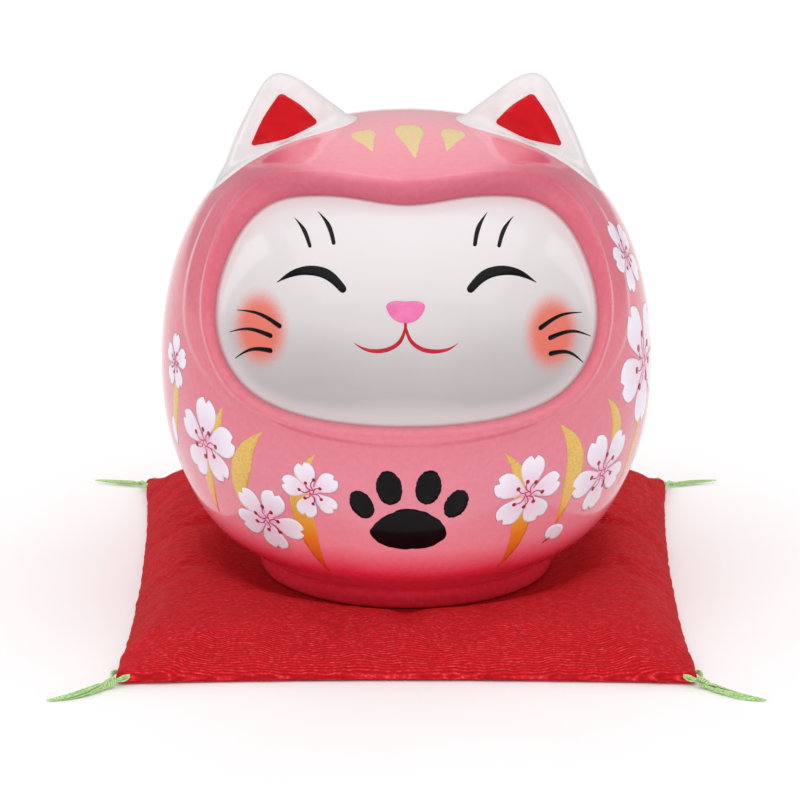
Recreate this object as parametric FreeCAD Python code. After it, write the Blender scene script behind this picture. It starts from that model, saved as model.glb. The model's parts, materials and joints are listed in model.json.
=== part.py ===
"""Round cat figurine of glazed stoneware on its small crepe cushion.

The figurine is a hollow slip-cast shell with a foot ring, a sunk face panel under a hood, and two
ears luted to the crown.  It stands, unfixed, in the hollow it presses in a square cushion: a top and
a bottom cloth round a wadding, closed by hand stitches at the back.  A tassel is tied through each
corner of the cushion: a loop of threads through the cloth, a knot, and a tail.

Millimetres.  +Z is up, the cat looks along -Y, and the origin is the middle of the cushion's underside.
"""
import FreeCAD, Part
import math
import os
from FreeCAD import Vector

# ---- driving dimensions -------------------------------------------------------------------------
BODY_R = 50.0           # largest radius of the figurine
BODY_TOP = 98.9         # crown of the head, above the table
FOOT_Z = 4.6            # underside of the foot ring, above the table
FOOT_R = 30.2           # outside of the foot ring
FOOT_INNER_R = 25.5     # inside of the foot ring
FOOT_RECESS = 2.0       # how far the base plate is raised inside the foot ring
GROOVE_Z = 8.7          # groove between the foot ring and the belly
WALL = 4.0              # thickness of the cast wall
VENT_R = 5.0            # firing vent in the base plate
FACE_INSET = 2.5        # how far the face panel lies below the body's own surface

EAR_TIP_Z = 108.3       # top of the ears
EAR_TIP_X = 25.2        # distance of the ear tips from the middle plane

CUSHION_X = 57.1        # half width of the cushion, to the corner tips
CUSHION_Y = 61.2        # half depth of the cushion, to the corner tips
SIDE_DIP = 2.0          # how far the sides curve in between the corners
CREST_Z = 9.0           # height of the padded border
SEAT_Z = 4.3            # height of the hollow under the foot ring
SEAM_Z = 2.0            # height of the seam round the edge
CLOTH = 0.5             # thickness of the crepe

THREAD_R = 0.42         # radius of one bundle of tassel threads
HOLE_IN_X = 2.6         # tassel hole, measured in from the corner tip
HOLE_IN_Y = 1.9
LOOP_LENGTH = 4.2       # from the tassel hole to the outer end of the loop
EYE_Z = 2.1             # height of the loop's outer end
KNOT_LENGTH = 2.7
KNOT_R = 0.95
TAIL_R = 1.05           # thickest part of the tail

# name: (side, end, direction of the tail from the X axis in degrees, length from the loop's end)
TASSELS = {
    "front_left": (-1, -1, 32.0, 14.5),
    "front_right": (1, -1, 32.0, 14.5),
    "rear_left": (-1, 1, 16.0, 11.6),
    "rear_right": (1, 1, 16.0, 11.6),
}


def rz(radius, height):
    """A point of a profile that is turned round the Z axis."""
    return Vector(radius, 0, height)


def wire_of(*edges):
    return Part.Wire([e.toShape() if hasattr(e, "toShape") else e for e in edges])


def line(a, b):
    return Part.LineSegment(a, b)


def turned(wire):
    """The solid swept by a closed half profile round the Z axis, with its seam at the back."""
    body = Part.Face(wire).revolve(Vector(0, 0, 0), Vector(0, 0, 1), 360)
    body.rotate(Vector(0, 0, 0), Vector(0, 0, 1), 90)
    return body


def save(name, shape):
    if len(shape.Solids) == 1:
        shape = shape.Solids[0]
    shape.exportStep(f"parts/{name}.step")
    print(f"{name:24s} valid {shape.isValid()}  solids {len(shape.Solids)}  volume {shape.Volume:10.2f}")


# ---- figurine -----------------------------------------------------------------------------------
# belly, flank and crown of the body, from the groove above the foot to the top of the head
BODY_PROFILE = [
    (30.6, 9.2),
    (39.6, 15.6),
    (45.3, 24.6),
    (49.0, 36.0),
    (BODY_R, 47.0),
    (48.8, 62.2),
    (43.4, 78.0),
    (33.1, 90.0),
    (19.6, 96.2),
    (0.0, BODY_TOP),
]


def domed(points):
    """A smooth curve from the first point up to the last, which is level where it meets the axis."""
    far_side = [Vector(-p.x, 0, p.z) for p in reversed(points[:-1])]
    curve = Part.BSplineCurve()
    curve.interpolate(points + far_side)
    curve.segment(curve.FirstParameter, (curve.FirstParameter + curve.LastParameter) / 2)
    return curve


def body_curve(inset=0.0):
    """The body's outer curve, or the curve that lies inset below it."""
    curve = domed([rz(r, z) for r, z in BODY_PROFILE])
    if inset == 0:
        return curve
    inner = []
    samples = 14
    for i in range(samples):
        t = curve.FirstParameter + (curve.LastParameter - curve.FirstParameter) * i / samples
        tangent = curve.tangent(t)[0]
        inner.append(curve.value(t) + Vector(-tangent.z, 0, tangent.x) * inset)
    inner.append(rz(0, BODY_TOP - inset))
    return domed(inner)


def body_core(inset, floor):
    """A closed body that lies inset below the outer surface and has a flat floor."""
    curve = body_curve(inset)
    start = curve.value(curve.FirstParameter)
    middle, heel = rz(0, floor), rz(start.x - 2.0, floor)
    return turned(wire_of(line(middle, heel), line(heel, start), curve, line(rz(0, BODY_TOP - inset), middle)))


def body_outer():
    """The outside of the casting, with its foot ring and the recess inside it."""
    edge = 0.8
    curve = body_curve()
    plate = FOOT_Z + FOOT_RECESS
    corners = [
        rz(0, plate),
        rz(FOOT_INNER_R, plate),
        rz(FOOT_INNER_R, FOOT_Z),
        rz(FOOT_R - edge, FOOT_Z),
        rz(FOOT_R, FOOT_Z + edge),
        rz(FOOT_R - 0.4, GROOVE_Z),
        rz(*BODY_PROFILE[0]),
    ]
    lower = [line(a, b) for a, b in zip(corners, corners[1:])]
    return turned(wire_of(*lower, curve, line(rz(0, BODY_TOP), corners[0])))


# right half of the hood opening, seen from the front: (distance from the middle, height)
FACE_HALF = [
    (0.0, 89.5),
    (8.0, 90.3),
    (16.0, 90.7),
    (26.0, 88.4),
    (33.3, 82.2),
    (37.4, 74.0),
    (38.2, 66.5),
    (36.4, 59.4),
    (31.0, 53.8),
    (22.5, 51.1),
    (11.5, 49.8),
    (0.0, 49.5),
]


def face_prism(grow=0.0):
    """The hood opening as a straight prism that runs out through the front of the body."""
    middle = 70.0
    right = [Vector(x, 0, z) for x, z in FACE_HALF]
    left = [Vector(-x, 0, z) for x, z in reversed(FACE_HALF[1:-1])]
    points = []
    for p in right + left:
        out = Vector(p.x, 0, p.z - middle)
        out.normalize()
        points.append(p + out * grow)
    outline = Part.BSplineCurve()
    outline.interpolate(Points=points, PeriodicFlag=True)
    face = Part.Face(Part.Wire([outline.toShape()]))
    return face.extrude(Vector(0, -BODY_R - 10, 0))


def body_shell():
    """The hollow casting: the outside, less the sunk face, the hollow inside and the firing vent."""
    floor = FOOT_Z + FOOT_RECESS + WALL + 0.4
    face_cut = face_prism().cut(body_core(FACE_INSET, floor))
    room_for_face = face_prism(WALL).cut(body_core(FACE_INSET + WALL, floor - 3))
    hollow = body_core(WALL, floor).cut(room_for_face)
    vent = Part.makeCylinder(VENT_R, 20, Vector(0, 0, FOOT_Z - 1))
    return body_outer().cut(face_cut).cut(hollow).cut(vent)


# (height, outer edge, inner edge, front, back) of level sections through an ear; the first is inside the body
EAR_SECTIONS = [
    (78.0, 34.0, 10.0, -3.0, 10.0),
    (84.0, 37.6, 8.6, -5.2, 12.2),
    (90.0, 36.9, 8.2, -5.4, 12.4),
    (96.0, 34.8, 10.4, -3.8, 10.2),
    (101.0, 32.6, 14.8, -2.0, 7.8),
    (105.0, 30.2, 19.2, -0.6, 5.8),
    (107.2, 28.2, 22.2, 0.4, 4.2),
    (EAR_TIP_Z, EAR_TIP_X + 0.8, EAR_TIP_X - 0.8, 1.6, 2.8),
]


def ear(side):
    """One ear, cut to the crown that it is luted to."""
    sections = []
    for height, outer, inner, front, back in EAR_SECTIONS:
        ring = []
        for step in range(12):
            turn = math.radians(30 * step)
            x = (outer + inner) / 2 + math.cos(turn) * (outer - inner) / 2
            y = (front + back) / 2 + math.sin(turn) * (back - front) / 2
            ring.append(Vector(side * x, y, height))
        outline = Part.BSplineCurve()
        outline.interpolate(Points=ring, PeriodicFlag=True)
        sections.append(Part.Wire([outline.toShape()]))
    return Part.makeLoft(sections, True, False).cut(body_core(0, GROOVE_Z))


# ---- cushion ------------------------------------------------------------------------------------
GRID = 26               # spans of the cloth's surface, each way


def outline_point(u, v):
    """Plan position of the cushion's cloth, for u and v from -1 to 1."""
    x = u * (CUSHION_X - SIDE_DIP * (1 - v * v))
    y = v * (CUSHION_Y - SIDE_DIP * (1 - u * u))
    return x, y


def puff(u, v):
    """How full the cushion is, from 0 at the seam to 1 well inside it."""
    return (1 - abs(u) ** 8) * (1 - abs(v) ** 8)


def smooth(t):
    t = min(1.0, max(0.0, t))
    return t * t * (3 - 2 * t)


def top_height(u, v):
    """Upper surface: a padded border round the hollow that the foot ring presses."""
    x, y = outline_point(u, v)
    rim = smooth((math.hypot(x, y) - FOOT_R - 2.5) / 13.0)
    inside = SEAT_Z + (CREST_Z - SEAT_Z) * rim
    edge = SEAM_Z + CLOTH
    return edge + (inside - edge) * puff(u, v)


def under_height(u, v):
    """Lower surface: flat on the table, rising to the seam at the edge."""
    edge = SEAM_Z - CLOTH
    sunk = -0.4
    return edge + (sunk - edge) * puff(u, v)


def lining_top(u, v):
    return top_height(u, v) - CLOTH


def lining_under(u, v):
    return SEAM_Z + (CLOTH - SEAM_Z) * puff(u, v)


def cloth_surface(height, reach=1.0):
    rows = []
    for i in range(GRID + 1):
        u = reach * (2 * i / GRID - 1)
        row = []
        for j in range(GRID + 1):
            v = reach * (2 * j / GRID - 1)
            row.append(Vector(*outline_point(u, v), height(u, v)))
        rows.append(row)
    surface = Part.BSplineSurface()
    surface.interpolate(rows)
    return surface


def between(lower, upper, reach=1.0):
    """The solid between two height functions over the cushion's plan."""
    low, high = cloth_surface(lower, reach), cloth_surface(upper, reach)
    faces = [low.toShape(), high.toShape()]
    bounds = (low.bounds(), high.bounds())
    for side in range(4):
        edges = []
        for surface, (u0, u1, v0, v1) in zip((low, high), bounds):
            iso = (surface.vIso(v0), surface.uIso(u1), surface.vIso(v1), surface.uIso(u0))[side]
            edges.append(iso.toShape())
        faces.append(Part.makeRuledSurface(*edges))
    shell = Part.makeShell(faces)
    shell.sewShape()
    solid = Part.Solid(Part.Shell(shell.Faces))
    if solid.Volume < 0:
        solid.reverse()
    return solid


def tassel_hole(side, end):
    """Plan position of the hole that a tassel is threaded through."""
    return side * (CUSHION_X - HOLE_IN_X), end * (CUSHION_Y - HOLE_IN_Y)


def punched(cloth):
    """The cloth with a needle hole for each tassel."""
    for side, end, _, _ in TASSELS.values():
        x, y = tassel_hole(side, end)
        cloth = cloth.cut(Part.makeCylinder(THREAD_R + 0.05, 12, Vector(x, y, -2)))
    return cloth


def bottom_cloth():
    """The lower panel, flat where it rests."""
    table = Part.makeBox(140, 140, 5, Vector(-70, -70, -5))
    return punched(between(under_height, lining_under).cut(table))


def wadding():
    gap = 0.42
    inset = 0.9
    return between(lambda u, v: lining_under(u, v) + gap, lambda u, v: lining_top(u, v) - gap, inset)


def closing_stitches():
    """Hand stitches across the back seam, where the cushion was filled."""
    count, pitch, radius, reach = 9, 3.6, 0.16, 0.55
    stitches = []
    for i in range(count):
        u = (i - (count - 1) / 2) * pitch / CUSHION_X
        x, y = outline_point(u, 1.0)
        foot = Vector(x, y + radius + 0.03, SEAM_Z - reach)
        thread = Part.makeCylinder(radius, 2 * reach, foot)
        ends = [Part.makeSphere(radius, foot + Vector(0, 0, h)) for h in (0, 2 * reach)]
        stitches.append(thread.fuse(ends).removeSplitter())
    return Part.makeCompound(stitches)


# ---- tassels ------------------------------------------------------------------------------------
def loop_end(side, end):
    """Outer end of a loop, where the knot hangs on it."""
    x, y = tassel_hole(side, end)
    reach = LOOP_LENGTH * math.sqrt(0.5)
    return Vector(x + side * reach, y + end * reach, EYE_Z)


def rounded_ring(corners, radii):
    """A closed wire through corners, each rounded to its radius."""
    edges, joins = [], []
    for i, (corner, radius) in enumerate(zip(corners, radii)):
        back = corners[i - 1] - corner
        ahead = corners[(i + 1) % len(corners)] - corner
        back.normalize()
        ahead.normalize()
        half = back.getAngle(ahead) / 2
        cut = radius / math.tan(half)
        bisector = back + ahead
        bisector.normalize()
        centre = corner + bisector * (radius / math.sin(half))
        middle = centre - bisector * radius
        joins.append((corner + back * cut, middle, corner + ahead * cut))
    for i, (start, middle, stop) in enumerate(joins):
        edges.append(Part.Arc(start, middle, stop).toShape())
        edges.append(line(stop, joins[(i + 1) % len(joins)][0]).toShape())
    return Part.Wire(edges)


def loop(side, end):
    """The threads that pass through the cloth: over it, under it and together beyond the corner."""
    x, y = tassel_hole(side, end)
    over, under = 1.45, -1.3
    along = Vector(side, end, 0).normalize()
    hole = Vector(x, y, EYE_Z)
    corners = [
        hole + Vector(0, 0, over),
        hole + Vector(0, 0, under),
        hole + along * (LOOP_LENGTH - 0.9) + Vector(0, 0, under),
        hole + along * (LOOP_LENGTH + 0.25),
        hole + along * (LOOP_LENGTH - 1.9) + Vector(0, 0, over),
    ]
    path = rounded_ring(corners, [0.5, 0.5, 0.6, 0.45, 0.6])
    start = path.Edges[1].valueAt(path.Edges[1].FirstParameter)
    heading = path.Edges[1].tangentAt(path.Edges[1].FirstParameter)
    edges = path.Edges[1:] + path.Edges[:1]
    section = Part.Wire([Part.Circle(start, heading, THREAD_R).toShape()])
    return Part.Wire(edges).makePipeShell([section], True, False)


def spindle(start, heading, stations):
    """A round body along heading, from (distance, radius) stations; it ends in points on its axis."""
    curve = Part.BSplineCurve()
    curve.interpolate(Points=[rz(radius, distance) for distance, radius in stations])
    low, high = rz(0, stations[0][0]), rz(0, stations[-1][0])
    wire = wire_of(line(low, rz(stations[0][1], stations[0][0])), curve,
                   line(rz(stations[-1][1], stations[-1][0]), high), line(high, low))
    body = turned(wire)
    body.Placement = FreeCAD.Placement(start, FreeCAD.Rotation(Vector(0, 0, 1), heading))
    return body


def tassel(side, end, turn, length):
    """The knot and the tail that hang on one loop."""
    eye = loop_end(side, end)
    level = Vector(side * math.cos(math.radians(turn)), end * math.sin(math.radians(turn)), 0)
    gap = 1.1
    knot_start = eye + level * gap
    knot = spindle(knot_start, level, [
        (0.0, 0.35),
        (0.18 * KNOT_LENGTH, 0.8 * KNOT_R),
        (0.5 * KNOT_LENGTH, KNOT_R),
        (0.82 * KNOT_LENGTH, 0.85 * KNOT_R),
        (KNOT_LENGTH, 0.55),
    ])
    root = knot_start + level * (KNOT_LENGTH + 0.14)
    tip = eye + level * length
    tip.z = 0.3
    heading = tip - root
    reach = heading.Length
    tail = spindle(root, heading, [
        (0.0, 0.5),
        (0.12 * reach, 0.85 * TAIL_R),
        (0.36 * reach, TAIL_R),
        (0.68 * reach, 0.7 * TAIL_R),
        (0.9 * reach, 0.33 * TAIL_R),
        (reach, 0.12),
    ])
    return knot, tail


def main():
    os.makedirs("parts", exist_ok=True)
    save("body_shell", body_shell())
    save("left_ear", ear(-1))
    save("right_ear", ear(1))
    save("cushion_top_cloth", punched(between(lining_top, top_height)))
    save("cushion_bottom_cloth", bottom_cloth())
    save("cushion_wadding", wadding())
    save("closing_stitches", closing_stitches())
    for name, (side, end, turn, length) in TASSELS.items():
        knot, tail = tassel(side, end, turn, length)
        save(f"tassel_loop_{name}", loop(side, end))
        save(f"tassel_knot_{name}", knot)
        save(f"tassel_tail_{name}", tail)
        eye = loop_end(side, end)
        axis = (end * math.sin(math.radians(turn)), -side * math.cos(math.radians(turn)))
        print(f"  hinge at {eye.x:.3f} {eye.y:.3f} {eye.z:.3f}, axis {axis[0]:.5f} {axis[1]:.5f} 0")


main()
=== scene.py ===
"""Looks of a round glazed cat on its crepe cushion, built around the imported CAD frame.

Lengths are in millimetres until a mesh is made, and MM turns them into metres.  The cat looks along -Y,
+Z is up, and the origin is the middle of the cushion's underside.  Angles round the cat are azimuths:
0 degrees is its front, positive towards +X.
"""
import json
import math
import random

import bmesh
import bpy
import numpy as np
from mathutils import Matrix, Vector
from mathutils.bvhtree import BVHTree
from mathutils.geometry import delaunay_2d_cdt


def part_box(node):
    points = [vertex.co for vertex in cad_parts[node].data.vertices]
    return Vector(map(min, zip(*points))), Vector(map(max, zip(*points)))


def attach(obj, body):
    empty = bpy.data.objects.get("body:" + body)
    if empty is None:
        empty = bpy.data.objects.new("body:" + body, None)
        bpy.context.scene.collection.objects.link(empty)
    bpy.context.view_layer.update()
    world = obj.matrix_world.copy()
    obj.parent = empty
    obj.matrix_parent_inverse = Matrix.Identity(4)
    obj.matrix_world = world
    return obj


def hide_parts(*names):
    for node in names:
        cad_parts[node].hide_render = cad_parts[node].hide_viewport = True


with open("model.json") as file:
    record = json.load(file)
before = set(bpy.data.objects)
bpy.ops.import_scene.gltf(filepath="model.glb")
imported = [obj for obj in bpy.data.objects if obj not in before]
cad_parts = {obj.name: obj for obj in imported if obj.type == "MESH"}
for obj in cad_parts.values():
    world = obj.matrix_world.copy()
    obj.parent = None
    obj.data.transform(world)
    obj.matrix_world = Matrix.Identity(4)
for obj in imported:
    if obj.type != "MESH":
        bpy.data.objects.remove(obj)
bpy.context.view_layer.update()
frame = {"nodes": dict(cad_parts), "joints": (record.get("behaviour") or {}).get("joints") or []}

MM = 0.001


def box_mm(node):
    """Lowest and highest corner of a CAD node, in millimetres."""
    low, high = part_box(node)
    return np.array(low) / MM, np.array(high) / MM


# ---- sizes taken from the frame -------------------------------------------------------------------
shell_low, shell_high = box_mm("body_shell")
BODY_R = (shell_high[0] - shell_low[0]) / 2
BODY_TOP = shell_high[2]
FOOT_Z = shell_low[2]
EAR_TOP = box_mm("right_ear")[1][2]
CUSHION_X, CUSHION_Y, CUSHION_TOP = box_mm("cushion_top_cloth")[1]
JOINTS = {joint["name"]: joint for joint in frame["joints"]}


# ---- camera ---------------------------------------------------------------------------------------
CAMERA_DISTANCE = 996.9
CAMERA_ELEVATION = math.radians(17.3)
CAMERA_AIM = Vector((-1.3, 0.0, 39.5))
SENSOR = 36.0
LENS = 218.6


def add_camera():
    data = bpy.data.cameras.new("camera")
    data.sensor_width = SENSOR
    data.lens = LENS
    data.clip_end = 20
    camera = bpy.data.objects.new("camera", data)
    back = Vector((0, -math.cos(CAMERA_ELEVATION), math.sin(CAMERA_ELEVATION)))
    camera.location = (CAMERA_AIM + back * CAMERA_DISTANCE) * MM
    camera.rotation_euler = (math.radians(90) - CAMERA_ELEVATION, 0, 0)
    bpy.context.scene.collection.objects.link(camera)
    bpy.context.scene.camera = camera


add_camera()


# ---- curves and numbers ---------------------------------------------------------------------------
def smooth(t):
    t = np.clip(t, 0.0, 1.0)
    return t * t * (3 - 2 * t)


def spline(points, count, closed=False):
    """Points along a cubic spline through the given ones, evenly spaced in its parameter."""
    p = np.array(points, float)
    if closed:
        p = np.vstack([p, p[:1]])
    h = np.linalg.norm(np.diff(p, axis=0), axis=1)
    knots = np.concatenate([[0.0], np.cumsum(h)])
    n = len(p)
    a = np.eye(n)
    b = np.zeros_like(p)
    for i in range(1, n - 1):
        a[i, i - 1:i + 2] = h[i - 1], 2 * (h[i - 1] + h[i]), h[i]
        b[i] = 6 * ((p[i + 1] - p[i]) / h[i] - (p[i] - p[i - 1]) / h[i - 1])
    if closed:
        a[0, -1] = -1.0
        a[-1] = 0.0
        a[-1, :2] = 2 * h[0], h[0]
        a[-1, -2:] += (h[-1], 2 * h[-1])
        b[-1] = 6 * ((p[1] - p[0]) / h[0] - (p[-1] - p[-2]) / h[-1])
    bend = np.linalg.solve(a, b)
    t = np.linspace(0.0, knots[-1], count, endpoint=not closed)
    i = np.clip(np.searchsorted(knots, t, side="right") - 1, 0, n - 2)
    span = h[i][:, None]
    after = (knots[i + 1] - t)[:, None]
    before = (t - knots[i])[:, None]
    curve = (bend[i] * after ** 3 + bend[i + 1] * before ** 3) / (6 * span)
    curve += (p[i] / span - bend[i] * span / 6) * after
    return curve + (p[i + 1] / span - bend[i + 1] * span / 6) * before


def mirrored(right_half):
    """A closed outline from its right half, which starts and ends on the middle line."""
    left = [(-x, z) for x, z in reversed(right_half[1:-1])]
    return list(right_half) + left


# ---- meshes ---------------------------------------------------------------------------------------
def new_piece(name, points, faces, material, body):
    """A mesh object from points in millimetres, riding on a body."""
    mesh = bpy.data.meshes.new(name)
    mesh.from_pydata([tuple(float(c) * MM for c in p) for p in points], [], faces)
    mesh.materials.append(material)
    mesh.shade_smooth()
    piece = bpy.data.objects.new(name, mesh)
    bpy.context.scene.collection.objects.link(piece)
    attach(piece, body)
    return piece


def tidy_normals(piece, merge=True):
    """Turns all faces outwards, after merging double points."""
    bm = bmesh.new()
    bm.from_mesh(piece.data)
    if merge:
        bmesh.ops.remove_doubles(bm, verts=bm.verts, dist=1e-7)
    bmesh.ops.recalc_face_normals(bm, faces=bm.faces)
    bm.to_mesh(piece.data)
    bm.free()


def ring_faces(start, count, rings, closed=True):
    """Quads between rings of count points each, numbered from start."""
    faces = []
    for r in range(rings - 1):
        for i in range(count if closed else count - 1):
            a = start + r * count + i
            b = start + r * count + (i + 1) % count
            faces.append((a, b, b + count, a + count))
    return faces


def fade_attribute(piece, values):
    attribute = piece.data.attributes.new("fade", "FLOAT", "POINT")
    attribute.data.foreach_set("value", np.array(values, np.float32))


# ---- the body's surface ---------------------------------------------------------------------------
BELLY_Z = 47.0          # the body is widest here
PROFILE_STEPS = 4000

# belly, flank and crown, as (radius, height), from the groove above the foot to the top of the head
PROFILE = [
    (30.6, 9.2),
    (39.6, 15.6),
    (45.3, 24.6),
    (49.0, 36.0),
    (BODY_R, BELLY_Z),
    (48.8, 62.2),
    (43.4, 78.0),
    (33.1, 90.0),
    (19.6, 96.2),
    (0.0, BODY_TOP),
]
MIDDLE = np.array([0.0, 0.0, 68.0])     # every ray from here meets the body's surface once


def profile_tables():
    far_side = [(-r, z) for r, z in reversed(PROFILE[:-1])]
    whole = spline(PROFILE + far_side, 2 * PROFILE_STEPS + 1)[:PROFILE_STEPS + 1]
    slope = np.gradient(whole, axis=0)
    slope /= np.linalg.norm(slope, axis=1)[:, None]
    return whole[:, 0], whole[:, 1], slope[:, 1], -slope[:, 0]


RADIUS, HEIGHT, NORMAL_R, NORMAL_Z = profile_tables()
RAY_ANGLE = np.arctan2(HEIGHT - MIDDLE[2], RADIUS)
RAY_LENGTH = np.hypot(HEIGHT - MIDDLE[2], RADIUS)


def radius_at(z):
    return np.interp(z, HEIGHT, RADIUS)


def unit(v):
    return v / np.linalg.norm(v, axis=-1, keepdims=True)


def plain_surface(directions):
    """Where rays from MIDDLE leave the body turned from the profile, and its normals there."""
    angle = np.arcsin(np.clip(directions[:, 2], -1, 1))
    level = np.linalg.norm(directions[:, :2], axis=1)
    level = np.maximum(level, 1e-9)
    out = np.interp(angle, RAY_ANGLE, NORMAL_R) / level
    normals = np.stack([directions[:, 0] * out, directions[:, 1] * out,
                        np.interp(angle, RAY_ANGLE, NORMAL_Z)], axis=1)
    return MIDDLE + directions * np.interp(angle, RAY_ANGLE, RAY_LENGTH)[:, None], unit(normals)


def front_point(x, z):
    """The point of the plain surface that lies at x and z on the cat's front."""
    x, z = np.asarray(x, float), np.asarray(z, float)
    y = -np.sqrt(np.maximum(radius_at(z) ** 2 - x ** 2, 0.0))
    return np.stack([x, y, z], axis=-1)


# ---- hood opening ---------------------------------------------------------------------------------
# the crease between hood and face, right half, as the (x, z) of its place on the plain surface
CREASE = [
    (0.0, 92.4),
    (11.0, 93.0),
    (20.6, 92.3),
    (28.7, 89.4),
    (34.5, 83.8),
    (38.1, 75.8),
    (39.4, 66.5),
    (37.6, 59.2),
    (32.6, 53.6),
    (24.8, 50.7),
    (12.3, 49.4),
    (0.0, 49.2),
]
CREASE_LOW, CREASE_HIGH = 49.2, 92.4
RIM_STEPS = 420

crease_xz = spline(mirrored(CREASE), RIM_STEPS, closed=True)
CREASE_RAYS = unit(front_point(crease_xz[:, 0], crease_xz[:, 1]) - MIDDLE)
CREASE_TURN = np.arccos(np.clip(-CREASE_RAYS[:, 1], -1, 1))
CREASE_SPIN = np.arctan2(CREASE_RAYS[:, 2], CREASE_RAYS[:, 0])
CREASE_Z = crease_xz[:, 1]


def face_depth(z):
    """How far the face lies under the plain surface: little at the chin, more under the brow."""
    up = np.clip((z - CREASE_LOW) / (CREASE_HIGH - CREASE_LOW), 0, 1)
    return 1.2 + 3.6 * up ** 2


def roll_width(z):
    """Width of the hood's rolled edge, from the crease to its crest."""
    return 2.2 - 1.1 * smooth((z - 49) / 12) + 0.8 * smooth((z - 78) / 13)


def roll_height(z):
    return 1.2 - 0.45 * smooth((z - 49) / 12) - 0.2 * smooth((z - 82) / 9)


ROLL_POWER = 2.0        # 2 makes the inner side of the roll a quarter of an ellipse
BAND = 0.35             # height of the flat band outside the rolled edge


def rim_fall(past, z):
    """Height over the plain surface at a distance past the rolled edge's crest."""
    top = smooth((z - 81) / 10)
    roll_end = 2.2 - 0.4 * smooth((z - 49) / 12) + 2.7 * top
    roll = (roll_height(z) - BAND) * (1 + np.cos(math.pi * np.clip(past / roll_end, 0, 1))) / 2
    band_end = 2.0 + 5.6 * smooth((z - 50) / 14) - 5.6 * top
    band = BAND * (1 - smooth((past - band_end) / (3.2 + 5.3 * top)))
    return roll + band


def rim_relief(distance, z):
    """Height over the plain surface at a distance outside the crease; z is the crease's height there."""
    width, depth = roll_width(z), face_depth(z)
    inside = np.clip(1 - distance / width, 0, 1)
    wall = -depth + (depth + roll_height(z)) * np.sqrt(1 - inside ** ROLL_POWER)
    return np.where(distance < width, wall, rim_fall(np.maximum(distance - width, 0), z))


def rim_lookup(directions):
    """For rays: the crease's turn and height on the same side, and the distance outside it."""
    order = np.argsort(CREASE_SPIN)
    spin = np.arctan2(directions[:, 2], directions[:, 0])
    turn_there = np.interp(spin, CREASE_SPIN[order], CREASE_TURN[order], period=2 * math.pi)
    z_there = np.interp(spin, CREASE_SPIN[order], CREASE_Z[order], period=2 * math.pi)
    turn = np.arccos(np.clip(-directions[:, 1], -1, 1))
    across = directions * [1, 0, 1]
    across = across / np.maximum(np.linalg.norm(across, axis=1), 1e-9)[:, None]
    crease_ray = across * np.sin(turn_there)[:, None] + np.array([0, -1, 0]) * np.cos(turn_there)[:, None]
    gap = np.linalg.norm(plain_surface(directions)[0] - plain_surface(crease_ray)[0], axis=1)
    return np.where(turn > turn_there, gap, -gap), z_there


def skin(directions, lift=0.0):
    """Points on the finished surface, hood or face, raised by lift."""
    points, normals = plain_surface(directions)
    distance, z_there = rim_lookup(directions)
    relief = np.where(distance > 0, rim_relief(distance, z_there), -face_depth(points[:, 2]))
    return points + normals * (relief + lift)[:, None]


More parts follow.
